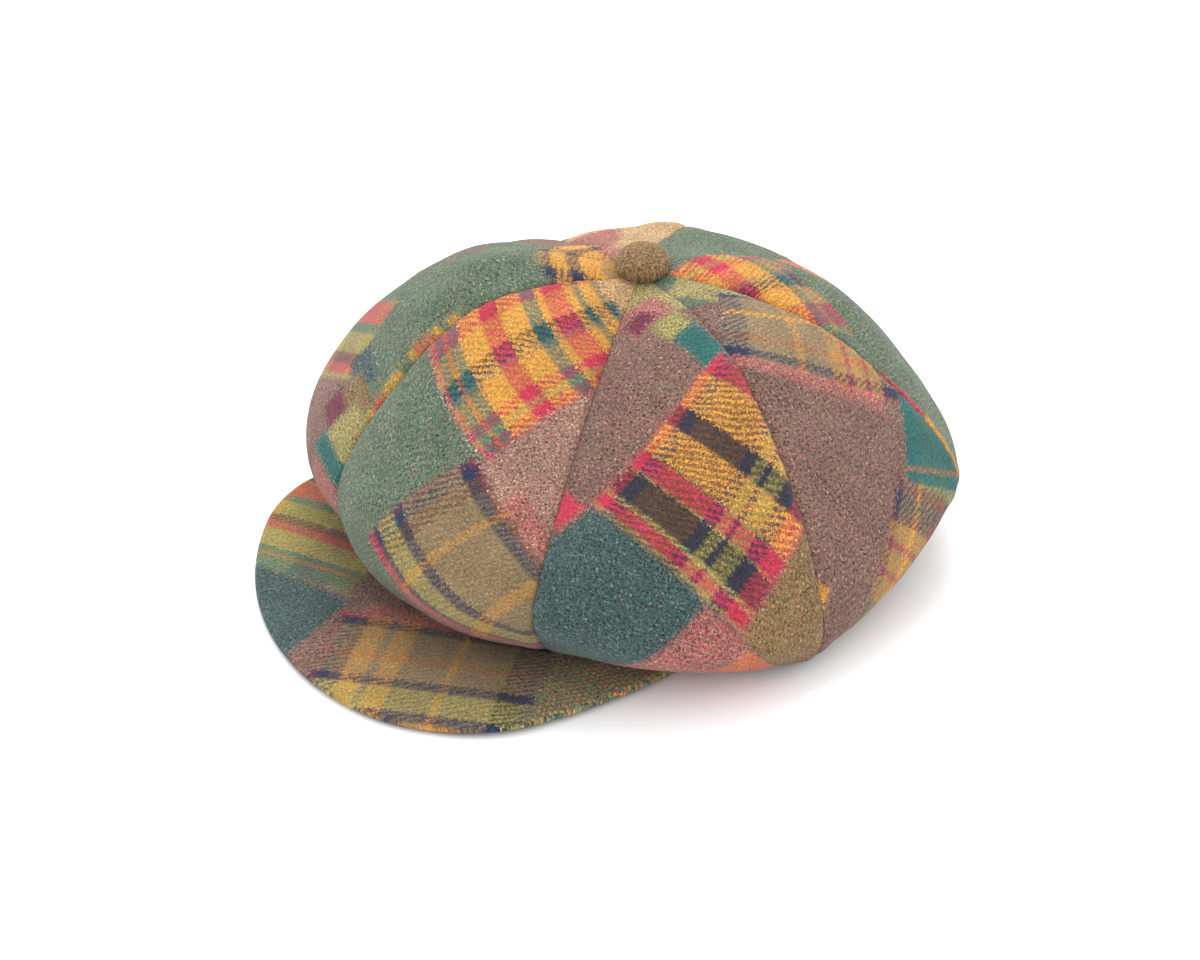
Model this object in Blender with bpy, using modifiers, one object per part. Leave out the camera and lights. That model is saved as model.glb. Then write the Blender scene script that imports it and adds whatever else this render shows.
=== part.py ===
"""Eight-panel cap of plaid wool, with a cloth-covered peak and a covered top button.

The front of the cap is -Y, the wearer's left is +X and the table it rests on is z = 0.
Sizes and tables are in millimetres and degrees, and the meshes are in metres.
Angles run from the front towards the wearer's left.

The crown's rows, seams and puffs came from a separate program that fitted the outline
and the seams in one photograph, and the peak's reaches from its edge there. They were
rounded, and some were then changed by hand. The size of the whole cap is assumed. The
headband, the head opening and the back don't show in the photograph and are guesses.
"""
import math

import bmesh
import bpy
from mathutils import Vector
from mathutils.geometry import intersect_point_line

MM = 0.001

# Driving sizes
CLOTH_WALL = 2.4
SEAM_GAP = 0.34
HEAD_LENGTH = 204.0
HEAD_WIDTH = 170.0
BAND_HEIGHT = 20.0
BAND_WALL = 3.0
BAND_STEPS = 64
PEAK_THICKNESS = 4.0
PEAK_GAP = 0.35
PEAK_CLEARANCE = 0.4
PEAK_ARCH = 1.6
# The peak arches by less where its reach is under this
PEAK_ARCH_REACH = 40.0
PEAK_EDGE_ROUND = 1.3
BUTTON_RADIUS = 11.6
BUTTON_HEIGHT = 9.2
BUTTON_RIM = 2.6
# Below the rim the cloth turns under: how far in from the rim, and the height there
BUTTON_FOOT = ((0.5, 0.9), (1.8, 0.0))
BUTTON_SEAT = 119.6
BUTTON_STEPS = 24
DOME_STEPS = 6
MERGE_DISTANCE = 0.05

# The crown leans back and to the left, so the middle of the head opening lies
# to the right of the button and in front of it.
OPENING_CENTRE = Vector((-7.0, -19.0))
# The button and the cloth under it are tipped towards the front left
SEAT_TIP = 14.0
SEAT_ANGLE = 35.0
SEAT_SHARES = (1.0, 1.0, 0.0, 0.0, 0.0, 0.0, 0.0)
# The button's place, which puts the middle of the cap's box over the origin
CROWN_CENTRE = Vector((3.5, 25.4))

# Rows of the crown from the button down to the roll above the headband.
# Tilt, reach and droop are the shares of each seam's own column that a row takes,
# and puff is how far the middle of a panel stands out from its seams.
CROWN_ROWS = (
    # radius, height, tilt, reach, droop, puff
    (3.0, 118.8, 0.0, 0.00, 0.0, 0.0),
    (13.0, 118.6, 0.0, 0.00, 0.0, 0.2),
    (45.0, 116.0, 0.6, 0.15, 0.0, 2.0),
    (80.0, 106.4, 1.0, 0.40, 0.1, 4.0),
    (116.0, 78.0, 0.8, 0.80, 0.5, 6.0),
    (138.0, 46.0, 0.3, 1.00, 1.0, 8.0),
    (134.0, 24.5, 0.0, 0.95, 1.0, 7.0),
)
# The roll hangs lowest: its radius, how much reach it takes, its least distance from the band, and its puff
ROLL_ROW = (118.0, 0.80, 4.0, 3.0)
# The hem lies on the headband: distance out from the band's face, and height above its top
HEM_ROWS = ((1.2, 1.2), (-2.7, 0.6))
# Faces between one row and the next
FACES_DOWN = (1, 3, 3, 4, 3, 3, 3, 3, 1)
FACES_ACROSS = 10
# Half of the stretch over which the slope of a panel is measured, in rows
SLOPE_STEP = 0.02

# One row for each seam round the crown
SEAM_TABLE = {
    # angle, tilt, reach, droop, height of the roll
    "right_front": (-69.0, 6.0, 5.0, 1.5, 8.0),
    "front_right": (-24.0, 8.5, 1.5, 3.0, 13.0),
    "front_left": (23.0, -18.5, 11.0, 5.0, 12.0),
    "left_front": (69.5, 0.0, 4.0, -18.0, 2.4),
    "left_back": (111.5, -4.5, 2.0, 2.5, 10.0),
    "back_left": (160.0, -4.0, -7.0, -1.0, 8.0),
    "back_right": (203.5, -3.0, -6.0, -4.0, 6.0),
    "right_back": (248.0, -10.0, -2.0, 0.0, 8.0),
}

# What a panel adds to the puff of each row, at its crest, its side and its roll
PUFF_SHARES = {
    "crest": (0.0, 0.1, 1.0, 0.8, 0.3, 0.0, 0.0, 0.0),
    "side": (0.0, 0.0, 0.0, 0.2, 0.7, 1.0, 0.7, 0.2),
    "roll": (0.0, 0.0, 0.0, 0.0, 0.0, 0.0, 0.4, 1.0),
}
PUFF_POWER = 0.8
PANEL_TABLE = {
    # first seam, second seam, crest, side, roll
    "crown_panel_front": ("front_right", "front_left", 0.0, 0.0, 0.0),
    "crown_panel_front_left": ("front_left", "left_front", 0.0, -4.5, -3.0),
    "crown_panel_left": ("left_front", "left_back", 0.0, -12.0, -3.0),
    "crown_panel_back_left": ("left_back", "back_left", 3.0, -12.0, 1.5),
    "crown_panel_back": ("back_left", "back_right", -4.0, -4.5, 0.0),
    "crown_panel_back_right": ("back_right", "right_back", 0.0, -3.5, 0.0),
    "crown_panel_right": ("right_back", "right_front", -1.0, -3.5, 0.0),
    "crown_panel_front_right": ("right_front", "front_right", 4.0, -4.0, -1.0),
}

# One row for each crease or dent. Across is 0 to 1 between the panel's seams and
# down counts the crown's rows; a height below zero is a dent.
FOLD_TABLE = (
    # panel, from (across, down), to (across, down), half width, height
    ("crown_panel_front_right", (0.55, 2.45), (0.96, 3.60), 9.0, 2.6),
    ("crown_panel_front_right", (0.85, 2.45), (1.00, 3.30), 8.0, -2.4),
    ("crown_panel_back_left", (0.42, 2.75), (0.04, 3.40), 8.0, -3.2),
    ("crown_panel_back_left", (0.34, 3.20), (0.16, 4.00), 12.0, 2.6),
    ("crown_panel_back_right", (0.44, 2.00), (0.46, 3.20), 10.0, -2.6),
    ("crown_panel_right", (0.42, 2.30), (0.60, 3.60), 12.0, -2.4),
    ("crown_panel_front", (0.16, 5.10), (0.50, 5.90), 12.0, -2.2),
    ("crown_panel_front_left", (0.30, 5.60), (0.80, 5.30), 12.0, 2.0),
)

# One row for each spoke of the peak: angle about the middle of the opening,
# reach beyond the headband, and lift off the table
PEAK_TABLE = (
    (-84.0, 4.0, 2.0),
    (-76.0, 16.0, 3.0),
    (-70.0, 28.0, 3.0),
    (-64.0, 39.0, 3.0),
    (-58.0, 48.0, 3.0),
    (-50.0, 54.0, 2.5),
    (-40.0, 56.5, 1.5),
    (-28.0, 59.0, 0.5),
    (-14.0, 62.0, 0.0),
    (0.0, 65.5, 0.0),
    (10.0, 66.5, 0.0),
    (20.0, 63.5, 0.5),
    (27.0, 58.5, 1.0),
    (33.0, 50.5, 1.0),
    (41.0, 41.0, 1.0),
    (50.0, 33.0, 1.0),
    (60.0, 24.0, 0.5),
    (70.0, 14.0, 0.0),
    (80.0, 4.0, 0.0),
)
PEAK_FACES_ALONG = 44
PEAK_FACES_ACROSS = 5

# Linear colour of each piece of cloth
PIECE_COLOURS = {
    "crown_panel_front": (0.21, 0.15, 0.07),
    "crown_panel_front_left": (0.18, 0.10, 0.07),
    "crown_panel_left": (0.19, 0.12, 0.08),
    "crown_panel_back_left": (0.13, 0.15, 0.09),
    "crown_panel_back": (0.09, 0.14, 0.10),
    "crown_panel_back_right": (0.22, 0.15, 0.08),
    "crown_panel_right": (0.20, 0.12, 0.09),
    "crown_panel_front_right": (0.10, 0.15, 0.10),
    "headband": (0.12, 0.08, 0.04),
    "peak": (0.14, 0.12, 0.07),
    "top_button": (0.10, 0.08, 0.05),
}
WOOL_ROUGHNESS = 0.92
SMOOTH_ANGLE = 40.0


def smooth_value(values, position):
    """Read a list at a place between its entries, along a smooth curve through them."""
    last = len(values) - 1
    index = min(max(int(math.floor(position)), 0), last - 1)
    part = position - index
    here = values[index]
    after = values[index + 1]
    before = values[index - 1] if index > 0 else 2.0 * here - after
    beyond = values[index + 2] if index + 2 <= last else 2.0 * after - here
    bend = 2.0 * before - 5.0 * here + 4.0 * after - beyond
    twist = 3.0 * (here - after) + beyond - before
    return here + 0.5 * part * (after - before + part * (bend + part * twist))


def direction(angle):
    """The level direction at an angle from the front."""
    turn = math.radians(angle)
    return Vector((math.sin(turn), -math.cos(turn)))


def band_reach(angle):
    """How far the headband's outer face lies from the middle of the head opening."""
    way = direction(angle)
    return 1.0 / math.hypot(way.x / (0.5 * HEAD_WIDTH), way.y / (0.5 * HEAD_LENGTH))


def band_radius(angle):
    """How far the headband's outer face lies from the line through the button."""
    way = direction(angle)
    half = Vector((0.5 * HEAD_WIDTH, 0.5 * HEAD_LENGTH))
    run = Vector((way.x / half.x, way.y / half.y))
    start = Vector((OPENING_CENTRE.x / half.x, OPENING_CENTRE.y / half.y))
    along = run.dot(start)
    return (along + math.sqrt(along ** 2 + run.dot(run) * (1.0 - start.dot(start)))) / run.dot(run)


def seam_column(seam):
    """Radius and height of a seam at each row from the button to the roll."""
    angle, tilt, reach, droop, roll_height = SEAM_TABLE[seam]
    slope = math.tan(math.radians(SEAT_TIP)) * math.cos(math.radians(angle - SEAT_ANGLE))
    column = []
    for row, seat_share in zip(CROWN_ROWS, SEAT_SHARES):
        radius, height, tilt_share, reach_share, droop_share, puff = row
        height += tilt * tilt_share + droop * droop_share - slope * radius * seat_share
        column.append((radius + reach * reach_share, height))
    column.append((ROLL_ROW[0] + reach * ROLL_ROW[1], roll_height))
    return column


def panel_section(panel, across):
    """Angle, radii and heights of the line that runs down a panel at a place between its seams."""
    first, second = PANEL_TABLE[panel][:2]
    start = SEAM_TABLE[first][0]
    span = (SEAM_TABLE[second][0] - start) % 360.0
    angle = start + span * across
    band = band_radius(angle)
    radii = []
    heights = []
    for (radius_a, height_a), (radius_b, height_b) in zip(seam_column(first), seam_column(second)):
        radii.append(radius_a + (radius_b - radius_a) * across)
        heights.append(height_a + (height_b - height_a) * across)
    radii[-1] = max(radii[-1], band + ROLL_ROW[2])
    for outward, above in HEM_ROWS:
        radii.append(band + outward)
        heights.append(BAND_HEIGHT + above)
    return angle, radii, heights


def panel_puffs(panel):
    """How far the middle of a panel stands out at each row."""
    puffs = [row[5] for row in CROWN_ROWS] + [ROLL_ROW[3]]
    for share, amount in zip(PUFF_SHARES.values(), PANEL_TABLE[panel][2:]):
        for index, part in enumerate(share):
            puffs[index] += part * amount
    return puffs + [0.0] * len(HEM_ROWS)


def bow(across):
    """A share that is 0 at both seams of a panel and 1 in its middle."""
    return 4.0 * across * (1.0 - across)


def crown_point(panel, across, down, depth=0.0, lift=0.0):
    """A point of a panel: depth goes into the cloth, lift out of it, both square to its run."""
    angle, radii, heights = panel_section(panel, across)
    radius = smooth_value(radii, down)
    height = smooth_value(heights, down)
    above = down - SLOPE_STEP
    below = down + SLOPE_STEP
    run = Vector((
        smooth_value(radii, below) - smooth_value(radii, above),
        smooth_value(heights, below) - smooth_value(heights, above),
    )).normalized()
    puff = smooth_value(panel_puffs(panel), down) * bow(across) ** PUFF_POWER
    out = puff + lift - depth
    radius -= run.y * out
    height += run.x * out
    way = direction(angle)
    sideways = Vector((-way.y, way.x)) * SEAM_GAP * (0.5 - across)
    place = way * radius + sideways
    return Vector((place.x, place.y, height))


def fold_lift(panel, across, down):
    """How much the folds of a panel raise or sink one of its points."""
    place = crown_point(panel, across, down)
    edge_share = math.sqrt(bow(across))
    total = 0.0
    for owner, start, end, half_width, height in FOLD_TABLE:
        if owner != panel:
            continue
        first = crown_point(panel, *start)
        second = crown_point(panel, *end)
        nearest, share = intersect_point_line(place, first, second)
        share = min(max(share, 0.0), 1.0)
        gap = (place - first.lerp(second, share)).length
        total += height * edge_share * math.exp(-(gap / half_width) ** 2)
    return total


def peak_column(index, angle):
    """Reach or lift of the peak at an angle, read from its table."""
    angles = [row[0] for row in PEAK_TABLE]
    place = 0
    while place < len(angles) - 2 and angle > angles[place + 1]:
        place += 1
    share = (angle - angles[place]) / (angles[place + 1] - angles[place])
    return smooth_value([row[index] for row in PEAK_TABLE], place + share)


def peak_point(along, out, depth):
    """A point of the peak: along from its right corner to its left one, out from the band to its edge."""
    angle = PEAK_TABLE[0][0] + (PEAK_TABLE[-1][0] - PEAK_TABLE[0][0]) * along
    reach = max(peak_column(1, angle), 0.0)
    lift = max(peak_column(2, angle), 0.0) * out
    arch = PEAK_ARCH * math.sin(math.pi * out) * min(reach / PEAK_ARCH_REACH, 1.0)
    place = OPENING_CENTRE + direction(angle) * (band_reach(angle) + PEAK_GAP + reach * out)
    height = PEAK_CLEARANCE + PEAK_THICKNESS - depth + lift + arch
    return Vector((place.x, place.y, height))


def wool(name):
    """A matt wool material in a piece's own colour."""
    material = bpy.data.materials.new(name + "_wool")
    material.use_nodes = True
    shader = material.node_tree.nodes["Principled BSDF"]
    shader.inputs["Base Color"].default_value = (*PIECE_COLOURS[name], 1.0)
    shader.inputs["Roughness"].default_value = WOOL_ROUGHNESS
    shader.inputs["Metallic"].default_value = 0.0
    return material


def add_piece(name, mesh, collection):
    """Make an object of a mesh, with its material and smooth faces."""
    piece = bpy.data.objects.new(name, mesh)
    mesh.materials.append(wool(name))
    mesh.shade_smooth()
    mesh.set_sharp_from_angle(angle=math.radians(SMOOTH_ANGLE))
    collection.objects.link(piece)
    return piece


def bent_slab(name, faces_x, faces_y, bend):
    """A flat slab of cloth cut into a grid, then bent: bend takes column, row and depth (0 or 1)."""
    shape = bmesh.new()
    bmesh.ops.create_grid(shape, x_segments=faces_x, y_segments=faces_y, size=0.5)
    for vertex in shape.verts:
        vertex.co.z = 0.0
    added = bmesh.ops.extrude_face_region(shape, geom=shape.faces[:], use_keep_orig=True)
    for item in added["geom"]:
        if isinstance(item, bmesh.types.BMVert):
            item.co.z = 1.0
    bmesh.ops.recalc_face_normals(shape, faces=shape.faces[:])
    for vertex in shape.verts:
        column = round((vertex.co.x + 0.5) * faces_x)
        row = round((vertex.co.y + 0.5) * faces_y)
        place = bend(column, row, round(vertex.co.z))
        vertex.co = (place + Vector((*CROWN_CENTRE, 0.0))) * MM
    mesh = bpy.data.meshes.new(name)
    shape.to_mesh(mesh)
    shape.free()
    return mesh


def add_panel(name, collection):
    """One gore of the crown, from the button over the top, round the roll and on to the headband."""
    down_places = [row + step / count for row, count in enumerate(FACES_DOWN) for step in range(count)]
    down_places.append(float(len(FACES_DOWN)))

    def bend(column, row, depth):
        across = column / FACES_ACROSS
        down = down_places[row]
        lift = fold_lift(name, across, down)
        return crown_point(name, across, down, depth * CLOTH_WALL, lift)

    return add_piece(name, bent_slab(name, FACES_ACROSS, len(down_places) - 1, bend), collection)


def add_peak(collection):
    """The stiff peak covered in cloth, with a rounded edge."""

    def bend(column, row, depth):
        return peak_point(column / PEAK_FACES_ALONG, row / PEAK_FACES_ACROSS, depth * PEAK_THICKNESS)

    peak = add_piece("peak", bent_slab("peak", PEAK_FACES_ALONG, PEAK_FACES_ACROSS, bend), collection)
    rounding = peak.modifiers.new("rounded_edge", "BEVEL")
    rounding.width = PEAK_EDGE_ROUND * MM
    rounding.segments = 1
    rounding.limit_method = "ANGLE"
    rounding.angle_limit = math.radians(SMOOTH_ANGLE)
    return peak


def add_headband(collection):
    """The upright band of cloth round the head opening, with a flat foot and a flat top."""
    outline = bpy.data.curves.new("headband_outline", "CURVE")
    outline.dimensions = "2D"
    outline.fill_mode = "BOTH"
    outline.extrude = 0.5 * BAND_HEIGHT * MM
    for inward in (0.0, BAND_WALL):
        spline = outline.splines.new("POLY")
        spline.points.add(BAND_STEPS - 1)
        for index, point in enumerate(spline.points):
            way = direction(360.0 * index / BAND_STEPS)
            half_width = 0.5 * HEAD_WIDTH - inward
            half_length = 0.5 * HEAD_LENGTH - inward
            point.co = (way.x * half_width * MM, way.y * half_length * MM, 0.0, 1.0)
        spline.use_cyclic_u = True
    guide = bpy.data.objects.new("headband_outline", outline)
    collection.objects.link(guide)
    bpy.context.view_layer.update()
    graph = bpy.context.evaluated_depsgraph_get()
    mesh = bpy.data.meshes.new_from_object(guide.evaluated_get(graph))
    bpy.data.objects.remove(guide)
    bpy.data.curves.remove(outline)
    mesh.materials.clear()
    shape = bmesh.new()
    shape.from_mesh(mesh)
    bmesh.ops.remove_doubles(shape, verts=shape.verts[:], dist=MERGE_DISTANCE * MM)
    centre = CROWN_CENTRE + OPENING_CENTRE
    bmesh.ops.translate(shape, verts=shape.verts[:], vec=Vector((*centre, 0.5 * BAND_HEIGHT)) * MM)
    shape.to_mesh(mesh)
    shape.free()
    mesh.name = "headband"
    return add_piece("headband", mesh, collection)


def add_button(collection):
    """The covered button where the panels meet: a low dome turned about its middle."""
    profile = [(0.0, BUTTON_HEIGHT)]
    dome = BUTTON_HEIGHT - BUTTON_RIM
    for step in range(1, DOME_STEPS):
        turn = 0.5 * math.pi * step / DOME_STEPS
        profile.append((BUTTON_RADIUS * math.sin(turn), BUTTON_RIM + dome * math.cos(turn)))
    profile.append((BUTTON_RADIUS, BUTTON_RIM))
    for inward, height in BUTTON_FOOT:
        profile.append((BUTTON_RADIUS - inward, height))
    profile.append((0.0, 0.0))
    mesh = bpy.data.meshes.new("top_button")
    edges = [(index, index + 1) for index in range(len(profile) - 1)]
    mesh.from_pydata([(x * MM, 0.0, z * MM) for x, z in profile], edges, [])
    button = add_piece("top_button", mesh, collection)
    turning = button.modifiers.new("turned", "SCREW")
    turning.steps = BUTTON_STEPS
    turning.render_steps = BUTTON_STEPS
    turning.use_merge_vertices = True
    turning.merge_threshold = MERGE_DISTANCE * MM
    button.location = Vector((*CROWN_CENTRE, BUTTON_SEAT)) * MM
    button.rotation_euler = (math.radians(SEAT_TIP), 0.0, math.radians(SEAT_ANGLE))
    return button


def main():
    for old in list(bpy.data.objects):
        bpy.data.objects.remove(old)
    collection = bpy.data.collections.new("eight_panel_cap")
    bpy.context.scene.collection.children.link(collection)
    for panel in PANEL_TABLE:
        add_panel(panel, collection)
    add_headband(collection)
    add_peak(collection)
    add_button(collection)


main()
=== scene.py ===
# %% [markdown]
# # A newsboy cap in patchwork tartan wool
# This lesson dresses a plain working model of a cap with real cloth: eight gores
# gathered on a headband, a stiff peak and a covered button. The working model, called
# the frame, fixes where each piece lies, and every new piece is made around it.

# %% Load the frame
import math

import bmesh
import bpy
from mathutils import Euler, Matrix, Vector, noise
from mathutils.geometry import intersect_point_line


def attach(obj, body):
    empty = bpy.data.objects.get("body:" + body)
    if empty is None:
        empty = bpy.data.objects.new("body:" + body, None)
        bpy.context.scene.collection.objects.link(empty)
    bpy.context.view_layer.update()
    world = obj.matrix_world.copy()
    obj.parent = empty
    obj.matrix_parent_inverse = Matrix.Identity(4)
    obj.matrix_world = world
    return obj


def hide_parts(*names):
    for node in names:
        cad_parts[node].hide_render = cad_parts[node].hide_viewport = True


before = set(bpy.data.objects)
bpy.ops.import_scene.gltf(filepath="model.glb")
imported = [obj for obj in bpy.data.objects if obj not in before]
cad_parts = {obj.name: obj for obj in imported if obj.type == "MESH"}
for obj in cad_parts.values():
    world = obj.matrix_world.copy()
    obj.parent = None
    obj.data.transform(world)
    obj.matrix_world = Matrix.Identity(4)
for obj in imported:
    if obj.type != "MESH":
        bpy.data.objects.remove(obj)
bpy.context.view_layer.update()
MM = 0.001
print("frame nodes:", sorted(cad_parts))

# %% [markdown]
# ## The camera
# A camera is part of the lesson from the start, because every look is judged through it.
# It stands to the front left of the cap and looks down on it, as a buyer would at a
# table. Its place came from a separate program that fitted the outline and the seams in
# the photo, with the distance assumed. Plain numbers hold it; a Track To constraint
# would do as well, but then the picture would slide when the aim moves.

# %% Place the camera
CAMERA_PLACE = Vector((0.4907, -0.5831, 0.5012))
CAMERA_AZIMUTH = 40.0
CAMERA_ELEVATION = 32.0
CAMERA_LENS = 61.72
SENSOR_WIDTH = 36.0

camera_data = bpy.data.cameras.new("camera")
camera_data.lens = CAMERA_LENS
camera_data.sensor_width = SENSOR_WIDTH
camera = bpy.data.objects.new("camera", camera_data)
camera.location = CAMERA_PLACE
camera.rotation_euler = (math.radians(90.0 - CAMERA_ELEVATION), 0.0, math.radians(CAMERA_AZIMUTH))
bpy.context.scene.collection.objects.link(camera)
bpy.context.scene.camera = camera
print("camera stands", round(CAMERA_PLACE.length, 3), "m from the cap's foot")

# %% [markdown]
# ## The shape of the crown
# A gored crown is easiest to describe as its maker cuts it: seams that run down from
# the button, and cloth that swells between them. Each seam is a short column of radii
# and heights, and a smooth curve through the rows gives every place in between. Sizes
# are in millimetres here, and angles run from the front towards the wearer's left. The
# rows, seams and puffs are the same program's results, rounded and partly changed by
# hand. They follow one cap in one picture, at an assumed size, and aren't numbers that
# a maker would choose. The headband and the back don't show there and are guesses.

# %% Driving sizes of the crown
CLOTH_WALL = 2.4
SEAM_GAP = 0.06
HEAD_LENGTH = 204.0
HEAD_WIDTH = 170.0
BAND_HEIGHT = 20.0
BAND_WALL = 3.0
OPENING_CENTRE = Vector((-7.0, -19.0))
CROWN_CENTRE = Vector((3.5, 25.4))
SEAT_TIP = 14.0
SEAT_ANGLE = 35.0
SEAT_SHARES = (1.0, 1.0, 0.0, 0.0, 0.0, 0.0, 0.0)

CROWN_ROWS = (
    # radius, height, tilt, reach, droop, puff
    (3.0, 118.8, 0.0, 0.00, 0.0, 0.0),
    (13.0, 118.6, 0.0, 0.00, 0.0, 0.2),
    (45.0, 116.0, 0.6, 0.15, 0.0, 2.0),
    (80.0, 106.4, 1.0, 0.40, 0.1, 4.0),
    (116.0, 78.0, 0.8, 0.80, 0.5, 6.0),
    (138.0, 46.0, 0.3, 1.00, 1.0, 8.0),
    (134.0, 24.5, 0.0, 0.95, 1.0, 7.0),
)
ROLL_ROW = (118.0, 0.80, 4.0, 3.0)
HEM_ROWS = ((1.2, 1.2), (-2.7, 0.6))

SEAM_TABLE = {
    # angle, tilt, reach, droop, height of the roll
    "right_front": (-69.0, 6.0, 5.0, 1.5, 8.0),
    "front_right": (-24.0, 8.5, 1.5, 3.0, 13.0),
    "front_left": (23.0, -18.5, 11.0, 5.0, 12.0),
    "left_front": (69.5, 0.0, 4.0, -18.0, 2.4),
    "left_back": (111.5, -4.5, 2.0, 2.5, 10.0),
    "back_left": (160.0, -4.0, -7.0, -1.0, 8.0),
    "back_right": (203.5, -3.0, -6.0, -4.0, 6.0),
    "right_back": (248.0, -10.0, -2.0, 0.0, 8.0),
}

PUFF_SHARES = {
    "crest": (0.0, 0.1, 1.0, 0.8, 0.3, 0.0, 0.0, 0.0),
    "side": (0.0, 0.0, 0.0, 0.2, 0.7, 1.0, 0.7, 0.2),
    "roll": (0.0, 0.0, 0.0, 0.0, 0.0, 0.0, 0.4, 1.0),
}
PUFF_POWER = 0.8
PANEL_TABLE = {
    # first seam, second seam, crest, side, roll
    "crown_panel_front": ("front_right", "front_left", 0.0, 0.0, 0.0),
    "crown_panel_front_left": ("front_left", "left_front", 0.0, -4.5, -3.0),
    "crown_panel_left": ("left_front", "left_back", 0.0, -12.0, -3.0),
    "crown_panel_back_left": ("left_back", "back_left", 3.0, -12.0, 1.5),
    "crown_panel_back": ("back_left", "back_right", -4.0, -4.5, 0.0),
    "crown_panel_back_right": ("back_right", "right_back", 0.0, -3.5, 0.0),
    "crown_panel_right": ("right_back", "right_front", -1.0, -3.5, 0.0),
    "crown_panel_front_right": ("right_front", "front_right", 4.0, -4.0, -1.0),
}
print(len(PANEL_TABLE), "gores between", len(SEAM_TABLE), "seams")


# %% Smooth curves through a few rows
def smooth_value(values, position):
    """Read a list at a place between its entries, along a smooth curve through them."""
    last = len(values) - 1
    index = min(max(int(math.floor(position)), 0), last - 1)
    part = position - index
    here = values[index]
    after = values[index + 1]
    before = values[index - 1] if index > 0 else 2.0 * here - after
    beyond = values[index + 2] if index + 2 <= last else 2.0 * after - here
    bend = 2.0 * before - 5.0 * here + 4.0 * after - beyond
    twist = 3.0 * (here - after) + beyond - before
    return here + 0.5 * part * (after - before + part * (bend + part * twist))


def direction(angle):
    """The level direction at an angle from the front."""
    turn = math.radians(angle)
    return Vector((math.sin(turn), -math.cos(turn)))


def band_reach(angle):
    """How far the headband's outer face lies from the middle of the head opening."""
    way = direction(angle)
    return 1.0 / math.hypot(way.x / (0.5 * HEAD_WIDTH), way.y / (0.5 * HEAD_LENGTH))


def band_radius(angle):
    """How far the headband's outer face lies from the line through the button."""
    way = direction(angle)
    half = Vector((0.5 * HEAD_WIDTH, 0.5 * HEAD_LENGTH))
    run = Vector((way.x / half.x, way.y / half.y))
    start = Vector((OPENING_CENTRE.x / half.x, OPENING_CENTRE.y / half.y))
    along = run.dot(start)
    return (along + math.sqrt(along ** 2 + run.dot(run) * (1.0 - start.dot(start)))) / run.dot(run)


print("headband reaches", round(band_reach(0.0)), "mm to the front of the opening's middle")


# %% The surface of one gore
SLOPE_STEP = 0.02


def seam_column(seam):
    """Radius and height of a seam at each row from the button to the roll."""
    angle, tilt, reach, droop, roll_height = SEAM_TABLE[seam]
    slope = math.tan(math.radians(SEAT_TIP)) * math.cos(math.radians(angle - SEAT_ANGLE))
    column = []
    for row, seat_share in zip(CROWN_ROWS, SEAT_SHARES):
        radius, height, tilt_share, reach_share, droop_share, puff = row
        height += tilt * tilt_share + droop * droop_share - slope * radius * seat_share
        column.append((radius + reach * reach_share, height))
    column.append((ROLL_ROW[0] + reach * ROLL_ROW[1], roll_height))
    return column


def panel_section(panel, across):
    """Angle, radii and heights of the line that runs down a panel at a place between its seams."""
    first, second = PANEL_TABLE[panel][:2]
    start = SEAM_TABLE[first][0]
    span = (SEAM_TABLE[second][0] - start) % 360.0
    angle = start + span * across
    band = band_radius(angle)
    radii = []
    heights = []
    for (radius_a, height_a), (radius_b, height_b) in zip(seam_column(first), seam_column(second)):
        radii.append(radius_a + (radius_b - radius_a) * across)
        heights.append(height_a + (height_b - height_a) * across)
    radii[-1] = max(radii[-1], band + ROLL_ROW[2])
    for outward, above in HEM_ROWS:
        radii.append(band + outward)
        heights.append(BAND_HEIGHT + above)
    return angle, radii, heights


def panel_puffs(panel):
    """How far the middle of a panel stands out at each row."""
    puffs = [row[5] for row in CROWN_ROWS] + [ROLL_ROW[3]]
    for share, amount in zip(PUFF_SHARES.values(), PANEL_TABLE[panel][2:]):
        for index, part in enumerate(share):
            puffs[index] += part * amount
    return puffs + [0.0] * len(HEM_ROWS)


def bow(across):
    """A share that is 0 at both seams of a panel and 1 in its middle."""
    return max(4.0 * across * (1.0 - across), 0.0)


def crown_point(section, puffs, across, down, out=0.0):
    """A point of a panel, some way out of its cloth, square to its run."""
    angle, radii, heights = section
    radius = smooth_value(radii, down)
    height = smooth_value(heights, down)
    above = down - SLOPE_STEP
    below = down + SLOPE_STEP
    run = Vector((
        smooth_value(radii, below) - smooth_value(radii, above),
        smooth_value(heights, below) - smooth_value(heights, above),
    )).normalized()
    out += smooth_value(puffs, down) * bow(across) ** PUFF_POWER
    radius -= run.y * out
    height += run.x * out
    way = direction(angle)
    sideways = Vector((-way.y, way.x)) * SEAM_GAP * (0.5 - across)
    place = way * radius + sideways
    return Vector((place.x, place.y, height))


front = panel_section("crown_panel_front", 0.5)
print("middle of the front gore at its widest row:", crown_point(front, [0.0] * 10, 0.5, 5.0))

# %% [markdown]
# ## Folds, creases and seams
# Cloth is never as smooth as the curve that it was drawn from. Three kinds of relief
# are added in the direction the cloth faces: broad folds where the crown slumps, sharp
# creases such as folded cloth keeps, and the seams, which sink between two soft
# ridges where the seam allowances are pressed open. Sculpting would also work, but
# a few short tables can be read and changed.

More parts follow.
